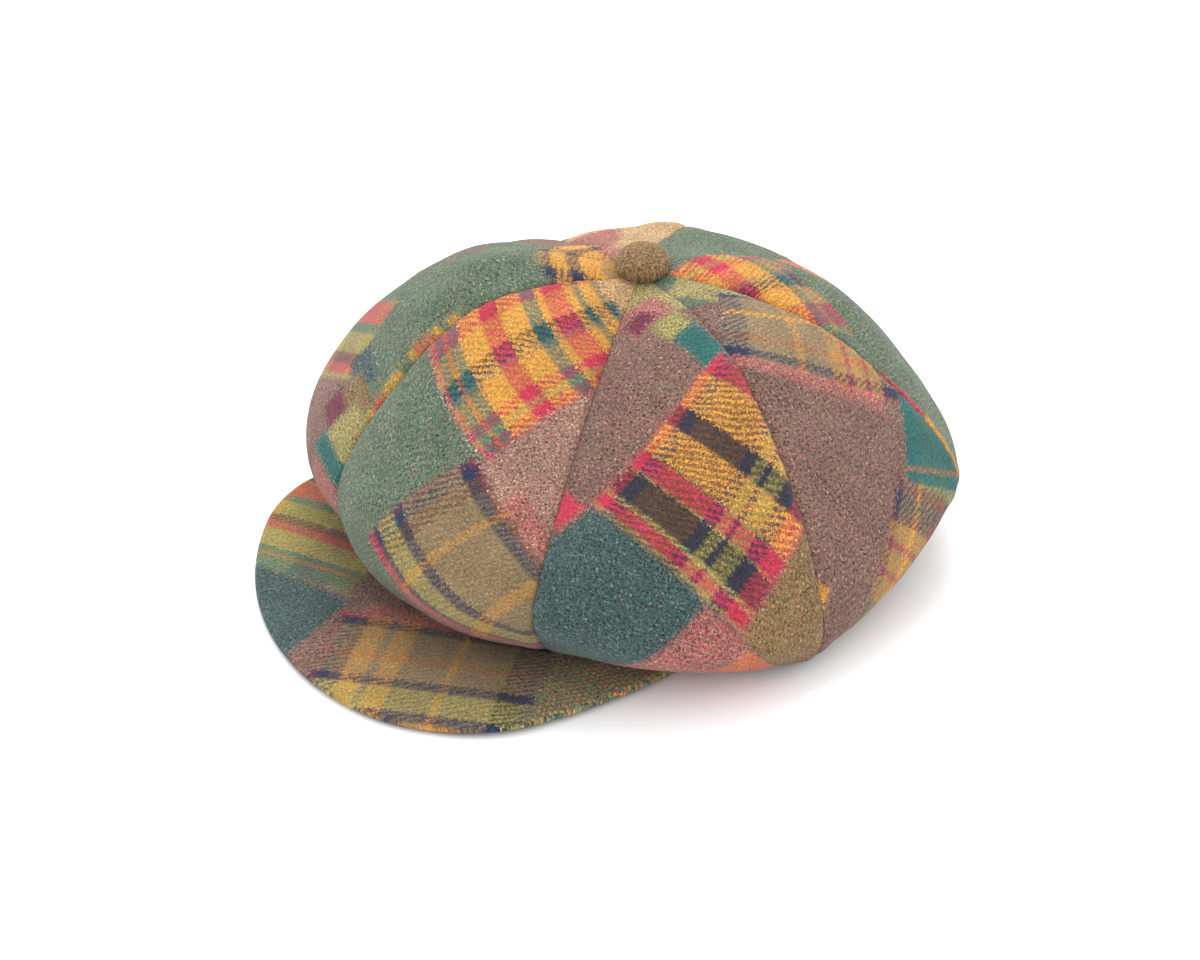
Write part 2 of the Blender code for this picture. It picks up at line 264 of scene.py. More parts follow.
# %% Tables of folds and creases
FOLD_TABLE = (
    # panel, from (across, down), to (across, down), half width, height
    ("crown_panel_front_right", (0.55, 2.45), (0.96, 3.60), 9.0, 2.6),
    ("crown_panel_front_right", (0.85, 2.45), (1.00, 3.30), 8.0, -2.4),
    ("crown_panel_back_left", (0.42, 2.75), (0.04, 3.40), 8.0, -3.2),
    ("crown_panel_back_left", (0.34, 3.20), (0.16, 4.00), 12.0, 2.6),
    ("crown_panel_back_right", (0.44, 2.00), (0.46, 3.20), 10.0, -2.6),
    ("crown_panel_right", (0.42, 2.30), (0.60, 3.60), 12.0, -2.4),
    ("crown_panel_front", (0.16, 5.10), (0.50, 5.90), 12.0, -2.2),
    ("crown_panel_front_left", (0.30, 5.60), (0.80, 5.30), 12.0, 2.0),
)
CREASE_TABLE = (
    # panel, from (x, y), to (x, y) on the cloth in mm, half width, height
    ("crown_panel_front_right", (4.0, 46.0), (40.0, 112.0), 2.6, 1.3),
    ("crown_panel_back_left", (-2.0, 72.0), (-24.0, 88.0), 3.0, 1.2),
    ("crown_panel_back_left", (-24.0, 88.0), (-36.0, 112.0), 3.0, 1.2),
    ("crown_panel_back_right", (8.0, 60.0), (-22.0, 118.0), 3.4, 1.1),
    ("crown_panel_back", (-14.0, 92.0), (26.0, 136.0), 3.4, 1.1),
    ("crown_panel_right", (-18.0, 104.0), (24.0, 142.0), 3.4, 1.1),
)
GROOVE_DEPTH = 0.7
GROOVE_WIDTH = 1.1
ALLOWANCE_LIFT = 0.45
ALLOWANCE_PLACE = 5.0
ALLOWANCE_WIDTH = 3.2
PUCKER_HEIGHT = 0.28
PUCKER_PITCH = 8.5
PUCKER_REACH = 5.0
SWELL_TABLE = (
    # wave length, height
    (46.0, 1.10),
    (19.0, 0.42),
    (8.0, 0.12),
)
print(len(FOLD_TABLE), "folds and", len(CREASE_TABLE), "creases")


# %% Relief of the cloth
def smooth_step(low, high, value):
    """Rise from 0 to 1 between two values."""
    share = min(max((value - low) / (high - low), 0.0), 1.0)
    return share * share * (3.0 - 2.0 * share)


def distance_to_line(place, first, second):
    """Distance from a place to a straight piece between two points."""
    nearest, share = intersect_point_line(place, first, second)
    return (place - first.lerp(second, min(max(share, 0.0), 1.0))).length


def fold_lines(panel):
    """The broad folds of one panel as points in space."""
    puffs = panel_puffs(panel)
    lines = []
    for owner, start, end, half_width, height in FOLD_TABLE:
        if owner == panel:
            ends = [crown_point(panel_section(panel, u), puffs, u, t) for u, t in (start, end)]
            lines.append((*ends, half_width, height))
    return lines


def fold_lift(place, across, lines):
    """How much the broad folds raise or sink a place."""
    total = 0.0
    for first, second, half_width, height in lines:
        gap = distance_to_line(place, first, second)
        total += height * math.sqrt(bow(across)) * math.exp(-(gap / half_width) ** 2)
    return total


def crease_lift(flat, lines):
    """How much the sharp creases raise a place of the flat cloth."""
    total = 0.0
    for first, second, half_width, height in lines:
        gap = distance_to_line(flat, first, second)
        total += height * (math.exp(-gap / half_width) - 0.35 * math.exp(-(gap / (3.0 * half_width)) ** 2))
    return total


def seam_relief(edge, width, down_mm):
    """Groove, pressed allowances and puckers near a seam, edge millimetres away."""
    narrow = min(1.0, width / 60.0)
    groove = -GROOVE_DEPTH * math.exp(-(edge / (GROOVE_WIDTH * narrow)) ** 2)
    ridge = ALLOWANCE_LIFT * math.exp(-((edge - ALLOWANCE_PLACE) / ALLOWANCE_WIDTH) ** 2)
    beat = math.sin(2.0 * math.pi * down_mm / PUCKER_PITCH + 2.0 * noise.noise(Vector((down_mm * 0.05, 0.0, 7.0))))
    pucker = PUCKER_HEIGHT * beat * math.exp(-edge / PUCKER_REACH)
    return (groove + ridge + pucker) * narrow


def swell(place):
    """The soft unevenness of steamed wool."""
    return sum(height * noise.noise(place / length) for length, height in SWELL_TABLE)


print("relief in the bottom of a seam:", round(seam_relief(0.0, 80.0, 0.0), 2), "mm")

# %% [markdown]
# ## Cloth from a bent grid
# Every piece of cloth here starts as one flat grid. It is given its thickness while it
# is flat, its flat place is stored in a UV map called cloth, and only then is it bent
# to shape. The UV map is what makes a woven pattern follow a gore as real cloth does,
# and the same millimetres measure the crease lines.

# %% Bend a grid
UV_SCALE = 0.001


def spread(count, gather):
    """Places from 0 to 1, closer together at both ends."""
    even = [step / count for step in range(count + 1)]
    return [(1.0 - gather) * share + gather * (0.5 - 0.5 * math.cos(math.pi * share)) for share in even]


def bent_cloth(columns, rows, place, flat, slab=True):
    """A piece from a grid: place(column, row, depth) in mm, and flat(column, row) on the cloth."""
    shape = bmesh.new()
    bmesh.ops.create_grid(shape, x_segments=columns, y_segments=rows, size=0.5)
    for vertex in shape.verts:
        vertex.co.z = 0.0
    if slab:
        added = bmesh.ops.extrude_face_region(shape, geom=shape.faces[:], use_keep_orig=True)
        for item in added["geom"]:
            if isinstance(item, bmesh.types.BMVert):
                item.co.z = 1.0
    bmesh.ops.recalc_face_normals(shape, faces=shape.faces[:])
    cells = {}
    for vertex in shape.verts:
        column = round((vertex.co.x + 0.5) * columns)
        row = round((vertex.co.y + 0.5) * rows)
        cells[vertex] = (column, row, round(vertex.co.z))
    layer = shape.loops.layers.uv.new("cloth")
    for face in shape.faces:
        for loop in face.loops:
            column, row, depth = cells[loop.vert]
            loop[layer].uv = Vector(flat(column, row)) * UV_SCALE
    for vertex, cell in cells.items():
        vertex.co = (place(*cell) + Vector((*CROWN_CENTRE, 0.0))) * MM
    return shape


def finish_piece(name, shape, node):
    """Turn a bmesh into a smooth object that stands for a node of the frame."""
    mesh = bpy.data.meshes.new(name)
    shape.to_mesh(mesh)
    shape.free()
    mesh.shade_smooth()
    piece = bpy.data.objects.new(name, mesh)
    bpy.context.scene.collection.objects.link(piece)
    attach(piece, "root")
    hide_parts(node)
    print(name, len(mesh.polygons), "faces")
    return piece


# %% Make the eight gores
FACES_DOWN = (3, 10, 11, 14, 12, 8, 9, 10, 3)
FACES_ACROSS = 44
EDGE_GATHER = 0.55
FLOOR_CLEARANCE = 0.3
down_places = [row + step / count for row, count in enumerate(FACES_DOWN) for step in range(count)]
down_places.append(float(len(FACES_DOWN)))
across_places = spread(FACES_ACROSS, EDGE_GATHER)


def flat_cloth(points):
    """Flat cloth places of a grid of points: x across from the middle line, y down it."""
    middle = len(across_places) // 2
    run = 0.0
    flat = {}
    for row in range(len(down_places)):
        if row:
            run += (points[middle, row] - points[middle, row - 1]).length
        flat[middle, row] = Vector((0.0, run, 0.0))
        for step in (1, -1):
            column = middle + step
            while 0 <= column < len(across_places):
                stretch = (points[column, row] - points[column - step, row]).length
                flat[column, row] = flat[column - step, row] + Vector((step * stretch, 0.0, 0.0))
                column += step
    return flat


def make_gore(panel):
    """One gore of the crown with its relief, and its flat cloth."""
    puffs = panel_puffs(panel)
    folds = fold_lines(panel)
    creases = [(Vector((*start, 0.0)), Vector((*end, 0.0)), half, height)
               for owner, start, end, half, height in CREASE_TABLE if owner == panel]
    sections = [panel_section(panel, across) for across in across_places]
    points = {}
    for column, across in enumerate(across_places):
        for row, down in enumerate(down_places):
            points[column, row] = crown_point(sections[column], puffs, across, down)
    flat = flat_cloth(points)
    lifts = {}
    for (column, row), point in points.items():
        across = across_places[column]
        down = down_places[row]
        left = flat[0, row].x
        right = flat[FACES_ACROSS, row].x
        edge = min(flat[column, row].x - left, right - flat[column, row].x)
        calm = smooth_step(0.7, 1.8, down) * (1.0 - smooth_step(7.4, 8.2, down))
        relief = seam_relief(edge, right - left, flat[column, row].y) * (1.0 - smooth_step(7.4, 8.2, down))
        relief += calm * (swell(point) + crease_lift(flat[column, row], creases) * math.sqrt(bow(across)))
        lifts[column, row] = relief + fold_lift(point, across, folds)

    def place(column, row, depth):
        across = across_places[column]
        out = lifts[column, row] - depth * CLOTH_WALL
        point = crown_point(sections[column], puffs, across, down_places[row], out)
        point.z = max(point.z, FLOOR_CLEARANCE)
        return point

    shape = bent_cloth(FACES_ACROSS, len(down_places) - 1, place,
                       lambda column, row: flat[column, row].xy)
    middle = FACES_ACROSS // 2
    widths = [flat[FACES_ACROSS, row].x - flat[0, row].x for row in range(len(down_places))]
    lengths = [flat[middle, row].y for row in range(len(down_places))]
    area = 0.0
    for row in range(1, len(down_places)):
        area += 0.5 * (widths[row] + widths[row - 1]) * (lengths[row] - lengths[row - 1])
    gore = finish_piece("cloth_" + panel, shape, panel)
    return gore, (max(widths) * MM, lengths[-1] * MM), area * MM * MM


gores = {}
for panel in PANEL_TABLE:
    gores[panel], cut, area = make_gore(panel)
    print(panel, "is cut", round(cut[0], 3), "x", round(cut[1], 3), "m,", round(area, 4), "m2")

# %% [markdown]
# ## The peak
# The peak is a crescent of stiff board with cloth turned over its edge. Its edge is
# round because two layers of wool meet there. The grid runs along the crescent and out
# from the headband, and its thickness dies away along a quarter circle at the rim. How
# far it reaches was picked from its edge in the photo and turned into millimetres by a
# separate program, and then partly changed by hand.

# %% Make the peak
PEAK_THICKNESS = 4.0
PEAK_GAP = 0.35
PEAK_CLEARANCE = 0.4
PEAK_ARCH = 1.6
PEAK_ARCH_REACH = 40.0
RIM_LEAST = 0.22
RIM_ROLL = 2.2
PEAK_SWELL = 0.35
PEAK_TABLE = (
    # angle, reach, lift
    (-84.0, 4.0, 2.0),
    (-76.0, 16.0, 3.0),
    (-70.0, 28.0, 3.0),
    (-64.0, 39.0, 3.0),
    (-58.0, 48.0, 3.0),
    (-50.0, 54.0, 2.5),
    (-40.0, 56.5, 1.5),
    (-28.0, 59.0, 0.5),
    (-14.0, 62.0, 0.0),
    (0.0, 65.5, 0.0),
    (10.0, 66.5, 0.0),
    (20.0, 63.5, 0.5),
    (27.0, 58.5, 1.0),
    (33.0, 50.5, 1.0),
    (41.0, 41.0, 1.0),
    (50.0, 33.0, 1.0),
    (60.0, 24.0, 0.5),
    (70.0, 14.0, 0.0),
    (80.0, 4.0, 0.0),
)
PEAK_COLUMNS = 150
PEAK_ROWS = 30
PEAK_GATHER = 0.8
out_places = spread(PEAK_ROWS, PEAK_GATHER)


def peak_column(index, angle):
    """Reach or lift of the peak at an angle, read from its table."""
    angles = [row[0] for row in PEAK_TABLE]
    place = 0
    while place < len(angles) - 2 and angle > angles[place + 1]:
        place += 1
    share = (angle - angles[place]) / (angles[place + 1] - angles[place])
    return smooth_value([row[index] for row in PEAK_TABLE], place + share)


def peak_place(column, row, depth):
    """A point of the peak's top (depth 0) or under side (depth 1)."""
    out = out_places[row]
    angle = PEAK_TABLE[0][0] + (PEAK_TABLE[-1][0] - PEAK_TABLE[0][0]) * column / PEAK_COLUMNS
    reach = max(peak_column(1, angle), 0.0)
    lift = max(peak_column(2, angle), 0.0) * out
    arch = PEAK_ARCH * math.sin(math.pi * out) * min(reach / PEAK_ARCH_REACH, 1.0)
    level = OPENING_CENTRE + direction(angle) * (band_reach(angle) + PEAK_GAP + reach * out)
    from_rim = min((1.0 - out) * reach / RIM_ROLL, 1.0)
    half = 0.5 * PEAK_THICKNESS * max(math.sqrt(1.0 - (1.0 - from_rim) ** 2), RIM_LEAST)
    middle = PEAK_CLEARANCE + 0.5 * PEAK_THICKNESS + lift + arch
    rough = PEAK_SWELL * noise.noise(Vector((level.x, level.y, 0.0)) / 16.0) * math.sin(math.pi * out)
    height = middle + half + rough if depth == 0 else middle - half
    return Vector((level.x, level.y, height))


def peak_flat(column, row):
    """The peak's cloth lies flat, so its place on the cloth is its place seen from above."""
    point = peak_place(column, row, 0)
    return (point.x, -point.y)


shape = bent_cloth(PEAK_COLUMNS, PEAK_ROWS, peak_place, peak_flat)
peak = finish_piece("cloth_peak", shape, "peak")

# %% [markdown]
# ## The headband
# The photo doesn't show the band, so this one is a plain guess: a strip of the same
# wool, doubled and sewn into an oval. Its section is a thin loop with soft corners that
# travels round the opening, so the grid closes on itself both ways, and its doubled
# edges are merged at the end.

# %% Make the headband
BAND_COLUMNS = 220
BAND_ROWS = 28
BAND_CORNER = 1.2
BAND_RIPPLE = 0.25
MERGE_DISTANCE = 0.00002


def band_loop(share):
    """Inward and upward place on the band's section, once round it."""
    corner = BAND_CORNER
    inner = BAND_WALL - 2.0 * corner
    tall = BAND_HEIGHT - 2.0 * corner
    bend = 0.5 * math.pi * corner
    run = share * (2.0 * inner + 2.0 * tall + 4.0 * bend)
    sides = (
        # length, start inward, start up, turn in quarter circles before this side
        (tall, 0.0, corner, (0.0, 1.0)),
        (inner, corner, BAND_HEIGHT, (1.0, 0.0)),
        (tall, BAND_WALL, BAND_HEIGHT - corner, (0.0, -1.0)),
        (inner, BAND_WALL - corner, 0.0, (-1.0, 0.0)),
    )
    centres = (
        (corner, BAND_HEIGHT - corner),
        (BAND_WALL - corner, BAND_HEIGHT - corner),
        (BAND_WALL - corner, corner),
        (corner, corner),
    )
    for index, (length, inward, up, way) in enumerate(sides):
        if run <= length:
            return inward + way[0] * run, up + way[1] * run
        run -= length
        if run <= bend:
            turn = math.pi - 0.5 * math.pi * index - run / corner
            centre = centres[index]
            return centre[0] + corner * math.cos(turn), centre[1] + corner * math.sin(turn)
        run -= bend
    return 0.0, corner


def band_place(column, row, depth):
    """A point of the headband."""
    angle = 360.0 * column / BAND_COLUMNS
    inward, up = band_loop(row / BAND_ROWS)
    way = direction(angle)
    half = Vector((0.5 * HEAD_WIDTH - inward, 0.5 * HEAD_LENGTH - inward))
    ripple = BAND_RIPPLE * noise.noise(Vector((way.x, way.y, up / 60.0)) * 6.0)
    level = OPENING_CENTRE + Vector((way.x * (half.x - abs(ripple)), way.y * (half.y - abs(ripple))))
    return Vector((level.x, level.y, up))


def band_flat(column, row):
    """Round the band and across it."""
    inward, up = band_loop(row / BAND_ROWS)
    around = math.pi * 0.5 * (HEAD_LENGTH + HEAD_WIDTH)
    return (around * column / BAND_COLUMNS, up + inward)


shape = bent_cloth(BAND_COLUMNS, BAND_ROWS, band_place, band_flat, slab=False)
bmesh.ops.remove_doubles(shape, verts=shape.verts[:], dist=MERGE_DISTANCE)
bmesh.ops.recalc_face_normals(shape, faces=shape.faces[:])
band = finish_piece("cloth_headband", shape, "headband")

# %% [markdown]
# ## The button
# A covered button is a small dome with its cloth drawn in under the rim. A profile spun
# round its middle gives the dome, and little gathers near the rim show how the cloth
# was pulled tight.

# %% Make the button
BUTTON_RADIUS = 11.6
BUTTON_HEIGHT = 9.2
BUTTON_RIM = 2.6
BUTTON_SEAT = 119.6
BUTTON_STEPS = 72
DOME_STEPS = 14
BUTTON_FOOT = ((0.12, 1.7), (0.5, 0.9), (1.1, 0.35), (1.8, 0.0), (6.0, 0.0))
GATHERS = 11
GATHER_DEPTH = 0.22


def button_profile():
    """Radius and height from the crown of the dome to the middle of its foot."""
    dome = BUTTON_HEIGHT - BUTTON_RIM
    turns = [0.5 * math.pi * step / DOME_STEPS for step in range(DOME_STEPS + 1)]
    points = [(BUTTON_RADIUS * math.sin(turn), BUTTON_RIM + dome * math.cos(turn)) for turn in turns]
    points += [(BUTTON_RADIUS - inward, height) for inward, height in BUTTON_FOOT]
    return points + [(0.0, 0.0)]


def make_button():
    """The covered button, turned, gathered, tipped and set in its seat."""
    shape = bmesh.new()
    verts = [shape.verts.new((radius * MM, 0.0, height * MM)) for radius, height in button_profile()]
    edges = [shape.edges.new(pair) for pair in zip(verts, verts[1:])]
    bmesh.ops.spin(shape, geom=verts + edges, axis=(0, 0, 1), cent=(0, 0, 0), angle=2.0 * math.pi,
                   steps=BUTTON_STEPS, use_merge=True)
    bmesh.ops.remove_doubles(shape, verts=shape.verts[:], dist=MERGE_DISTANCE)
    bmesh.ops.recalc_face_normals(shape, faces=shape.faces[:])
    layer = shape.loops.layers.uv.new("cloth")
    for face in shape.faces:
        for loop in face.loops:
            loop[layer].uv = loop.vert.co.xy * (UV_SCALE / MM)
    for vertex in shape.verts:
        turn = math.atan2(vertex.co.y, vertex.co.x)
        radius = vertex.co.xy.length / MM
        height = vertex.co.z / MM
        near_rim = smooth_step(7.0, BUTTON_RADIUS, radius) * (1.0 - smooth_step(0.0, 0.4, 0.4 - height))
        wave = math.sin(GATHERS * turn + 3.0 * noise.noise(Vector((turn, 0.0, 0.0))))
        draw = 1.0 - GATHER_DEPTH * near_rim * (0.5 + 0.5 * wave) / BUTTON_RADIUS
        vertex.co.x *= draw
        vertex.co.y *= draw
    turned = Euler((math.radians(SEAT_TIP), 0.0, math.radians(SEAT_ANGLE))).to_matrix().to_4x4()
    bmesh.ops.transform(shape, matrix=turned, verts=shape.verts[:])
    bmesh.ops.translate(shape, verts=shape.verts[:], vec=Vector((*CROWN_CENTRE, BUTTON_SEAT)) * MM)
    return finish_piece("cloth_top_button", shape, "top_button")


button = make_button()

# %% [markdown]
# ## Wool, one yarn at a time
# The cloth is a brushed twill: coloured yarns that cross in diagonal lines and then were
# felted a little, so every colour is a mixture of dyed fibres and every edge is furry.
# An image of cloth would be the quick way. Shader nodes can do the same from a few
# numbers, stay sharp in a close view, and let one recipe serve all eleven pieces. The
# recipes are node groups, so that each is built once.

# %% Helpers for shader nodes
def add_node(tree, kind, links=None, **settings):
    """Add a shader node; links holds a value or another node's socket for each input."""
    made = tree.nodes.new("ShaderNode" + kind)
    for name, value in settings.items():
        setattr(made, name, value)
    for key, value in (links or {}).items():
        if isinstance(value, bpy.types.NodeSocket):
            tree.links.new(value, made.inputs[key])
        else:
            made.inputs[key].default_value = value
    return made


def calculate(tree, operation, *values):
    """A Math node's result."""
    return add_node(tree, "Math", dict(enumerate(values)), operation=operation).outputs[0]


def blend_colour(tree, share, first, second, blend_type="MIX"):
    """First and second colour mixed by a share."""
    made = add_node(tree, "Mix", {0: share, 6: first, 7: second}, data_type="RGBA", blend_type=blend_type)
    return made.outputs[2]


def ease(tree, value, low, high, floor=0.0, ceiling=1.0):
    """A value's smooth rise from floor to ceiling between low and high."""
    links = {0: value, 1: low, 2: high, 3: floor, 4: ceiling}
    return add_node(tree, "MapRange", links, interpolation_type="SMOOTHSTEP").outputs[0]


def new_group(name, inputs, outputs):
    """An empty node group with named sockets, and its two ends."""
    tree = bpy.data.node_groups.new(name, "ShaderNodeTree")
    for way, sockets in (("INPUT", inputs), ("OUTPUT", outputs)):
        for label, kind in sockets.items():
            tree.interface.new_socket(name=label, in_out=way, socket_type="NodeSocket" + kind)
    return tree, tree.nodes.new("NodeGroupInput").outputs, tree.nodes.new("NodeGroupOutput").inputs


def use_group(tree, group, links):
    """Place a group in a tree, link its inputs and give its outputs."""
    made = tree.nodes.new("ShaderNodeGroup")
    made.node_tree = group
    for key, value in links.items():
        if isinstance(value, bpy.types.NodeSocket):
            tree.links.new(value, made.inputs[key])
        else:
            made.inputs[key].default_value = value
    return made.outputs


# %% The dye pots
PALETTE = {
    "gold": (0.56, 0.265, 0.045),
    "crimson": (0.46, 0.030, 0.062),
    "lime": (0.30, 0.255, 0.075),
    "navy": (0.020, 0.028, 0.065),
    "brown": (0.135, 0.062, 0.032),
    "black": (0.030, 0.024, 0.025),
    "rust": (0.33, 0.12, 0.045),
    "wine": (0.14, 0.022, 0.045),
    "teal": (0.018, 0.115, 0.105),
    "olive": (0.235, 0.165, 0.085),
    "green": (0.050, 0.135, 0.100),
    "orange": (0.52, 0.14, 0.06),
}
HEATHERS = {
    # main, second, dark, light
    "green_heather": ((0.045, 0.135, 0.100), (0.155, 0.145, 0.080), (0.026, 0.062, 0.052), (0.30, 0.25, 0.15)),
    "mauve_heather": ((0.225, 0.072, 0.080), (0.145, 0.125, 0.070), (0.060, 0.032, 0.038), (0.36, 0.25, 0.16)),
    # a brighter copy of the mauve heather: painted light on the front gore
    "lit_mauve_heather": ((0.36, 0.125, 0.125), (0.24, 0.20, 0.12), (0.13, 0.06, 0.065), (0.55, 0.40, 0.26)),
    "pink_heather": ((0.42, 0.055, 0.085), (0.24, 0.17, 0.10), (0.12, 0.04, 0.055), (0.50, 0.32, 0.20)),
    "olive_heather": ((0.245, 0.095, 0.045), (0.185, 0.165, 0.060), (0.085, 0.055, 0.030), (0.40, 0.27, 0.12)),
    # a brighter copy of the olive heather: painted light on the front gore and the back right gore
    "lit_olive_heather": ((0.50, 0.21, 0.10), (0.36, 0.32, 0.14), (0.20, 0.13, 0.07), (0.68, 0.50, 0.26)),
    "teal_heather": ((0.018, 0.085, 0.084), (0.070, 0.078, 0.070), (0.014, 0.026, 0.036), (0.17, 0.22, 0.19)),
    "lime_heather": ((0.33, 0.28, 0.085), (0.24, 0.20, 0.07), (0.12, 0.10, 0.05), (0.48, 0.38, 0.18)),
}


def opaque(colour):
    """A colour with full cover, as sockets want it."""
    return (*colour, 1.0)


# %% Recipes: plain heather and a ragged patch
def make_heather():
    """Fibres of four colours, picked by three noises."""
    colours = ("Main", "Second", "Dark", "Light")
    tree, start, end = new_group("heather", {**dict.fromkeys(colours, "Color"), "Fibre": "Color"}, {"Color": "Color"})
    fibre = add_node(tree, "SeparateColor", {0: start["Fibre"]}).outputs
    colour = blend_colour(tree, ease(tree, fibre[0], 0.42, 0.60), start["Main"], start["Second"])
    colour = blend_colour(tree, ease(tree, fibre[1], 0.48, 0.68), colour, start["Dark"])
    colour = blend_colour(tree, ease(tree, fibre[2], 0.55, 0.72), colour, start["Light"])
    tree.links.new(colour, end[0])
    return tree


def make_patch_mask():
    """1 inside a block of the given size and 0 outside, with a ragged edge."""
    sockets = {"Place": "Vector", "Half Size": "Vector", "Ragged": "Float"}
    tree, start, end = new_group("patch_mask", sockets, {"Mask": "Float"})
    away = add_node(tree, "VectorMath", {0: start["Place"], 1: start["Half Size"]}, operation="SUBTRACT")
    away = add_node(tree, "VectorMath", {0: away.outputs[0]}, operation="ABSOLUTE")
    away = add_node(tree, "VectorMath", {0: away.outputs[0], 1: start["Half Size"]}, operation="SUBTRACT")
    sides = add_node(tree, "SeparateXYZ", {0: away.outputs[0]}).outputs
    outside = calculate(tree, "MAXIMUM", sides[0], sides[1])
    outside = calculate(tree, "ADD", outside, start["Ragged"])
    tree.links.new(ease(tree, outside, -0.35, 0.35, 1.0, 0.0), end[0])
    return tree


heather_group = make_heather()
patch_mask_group = make_patch_mask()

# %% Recipes: the checks
YARN_STRAY = 6.0
WEFT_LEAST = 0.14
WEFT_MOST = 0.90


def stripe_colour(tree, place, stripes, length):
    """The yarn colour at a place across a row of stripes."""
    share = calculate(tree, "DIVIDE", place, length)
    made = add_node(tree, "ValToRGB", {0: share})
    ramp = made.color_ramp
    ramp.interpolation = "CONSTANT"
    while len(ramp.elements) > 1:
        ramp.elements.remove(ramp.elements[-1])
    for index, (start, name) in enumerate(stripes):
        stop = ramp.elements[0] if index == 0 else ramp.elements.new(start / length)
        stop.position = start / length
        stop.color = opaque(PALETTE[name])
    return made.outputs[0]


def make_check(name, size, warp, weft):
    """A block of woven stripes: the twill shows now the warp and now the weft."""
    sockets = {"Place": "Vector", "Fibre": "Color", "Twill": "Float"}
    tree, start, end = new_group(name, sockets, {"Color": "Color"})
    fibre = add_node(tree, "SeparateColor", {0: start["Fibre"]}).outputs
    sides = add_node(tree, "SeparateXYZ", {0: start["Place"]}).outputs
    stray = [calculate(tree, "SUBTRACT", fibre[axis], 0.5) for axis in (0, 1)]
    place = [calculate(tree, "MULTIPLY_ADD", stray[axis], YARN_STRAY, sides[axis]) for axis in (0, 1)]
    along = stripe_colour(tree, place[0], warp, size[0])
    across = stripe_colour(tree, place[1], weft, size[1])
    share = ease(tree, start["Twill"], 0.0, 1.0, WEFT_LEAST, WEFT_MOST)
    tree.links.new(blend_colour(tree, share, along, across), end[0])
    return tree


CHECKS = {
    # size across and down, then the warp's and the weft's stripes: where each starts, and its dye
    "gold_check": (
        (70.0, 88.0),
        ((0, "lime"), (5, "crimson"), (20, "gold"), (33, "black"), (37, "navy"), (41, "olive"),
         (44, "gold"), (55, "crimson"), (60, "lime"), (64, "crimson")),
        ((0, "teal"), (4, "gold"), (10, "teal"), (14, "gold"), (18, "crimson"), (29, "gold"), (33, "teal"),
         (40, "gold"), (52, "crimson"), (61, "gold"), (73, "teal"), (79, "rust"), (81, "teal"), (86, "crimson")),
    ),
    "dark_check": (
        (76.0, 79.0),
        ((0, "crimson"), (5, "navy"), (11, "brown"), (37, "navy"), (43, "lime"), (48, "navy"), (51, "lime"),
         (59, "navy"), (66, "crimson")),
        ((0, "crimson"), (9, "gold"), (25, "black"), (34, "gold"), (47, "lime"), (48, "crimson"), (56, "lime"),
         (57, "black"), (69, "lime"), (71, "crimson"), (77, "lime")),
    ),
    "olive_check": (
        (90.0, 66.0),
        ((0, "wine"), (4, "navy"), (8, "brown"), (13, "gold"), (22, "olive"), (26, "gold"), (35, "olive"),
         (54, "gold"), (57, "olive"), (78, "black"), (86, "navy")),
        ((0, "crimson"), (2, "navy"), (7, "olive"), (24, "rust"), (27, "olive"), (38, "navy"), (43, "lime"),
         (56, "navy"), (61, "gold"), (63, "orange")),
    ),
    "front_check": (
        (90.0, 60.0),
        ((0, "wine"), (3, "navy"), (8, "brown"), (15, "olive"), (25, "gold"), (29, "olive"), (58, "gold"),
         (64, "olive")),
        ((0, "wine"), (3, "navy"), (8, "olive"), (37, "navy"), (42, "lime"), (52, "navy"), (55, "crimson")),
    ),
    "side_check": (
        (94.0, 48.0),
        ((0, "navy"), (9, "olive"), (28, "gold"), (32, "olive"), (45, "gold"), (54, "crimson"), (57, "gold"),
         (65, "crimson"), (68, "gold"), (76, "wine"), (80, "navy"), (88, "wine")),
        ((0, "navy"), (3, "olive"), (13, "gold"), (16, "olive"), (30, "rust"), (33, "olive"), (39, "navy"),
         (44, "crimson")),
    ),
    "lime_check": (
        (72.0, 66.0),
        ((0, "orange"), (5, "gold"), (14, "lime"), (40, "olive"), (62, "lime")),
        ((0, "crimson"), (12, "teal"), (17, "lime"), (27, "wine"), (32, "crimson"), (37, "lime"), (49, "teal"),
         (53, "rust"), (55, "teal")),
    ),
    "stripe_check": (
        (70.0, 64.0),
        ((0, "teal"), (8, "green"), (30, "teal"), (52, "olive")),
        ((0, "teal"), (29, "rust"), (31, "teal"), (36, "lime"), (48, "wine"), (54, "lime"), (62, "teal")),
    ),
    "tip_check": (
        (44.0, 44.0),
        ((0, "gold"), (12, "navy"), (16, "gold"), (30, "navy"), (36, "olive")),
        ((0, "gold"), (8, "olive"), (16, "gold"), (26, "navy"), (32, "gold"), (39, "navy")),
    ),
}
check_groups = {name: make_check(name, *parts) for name, parts in CHECKS.items()}
print("checks:", sorted(check_groups))
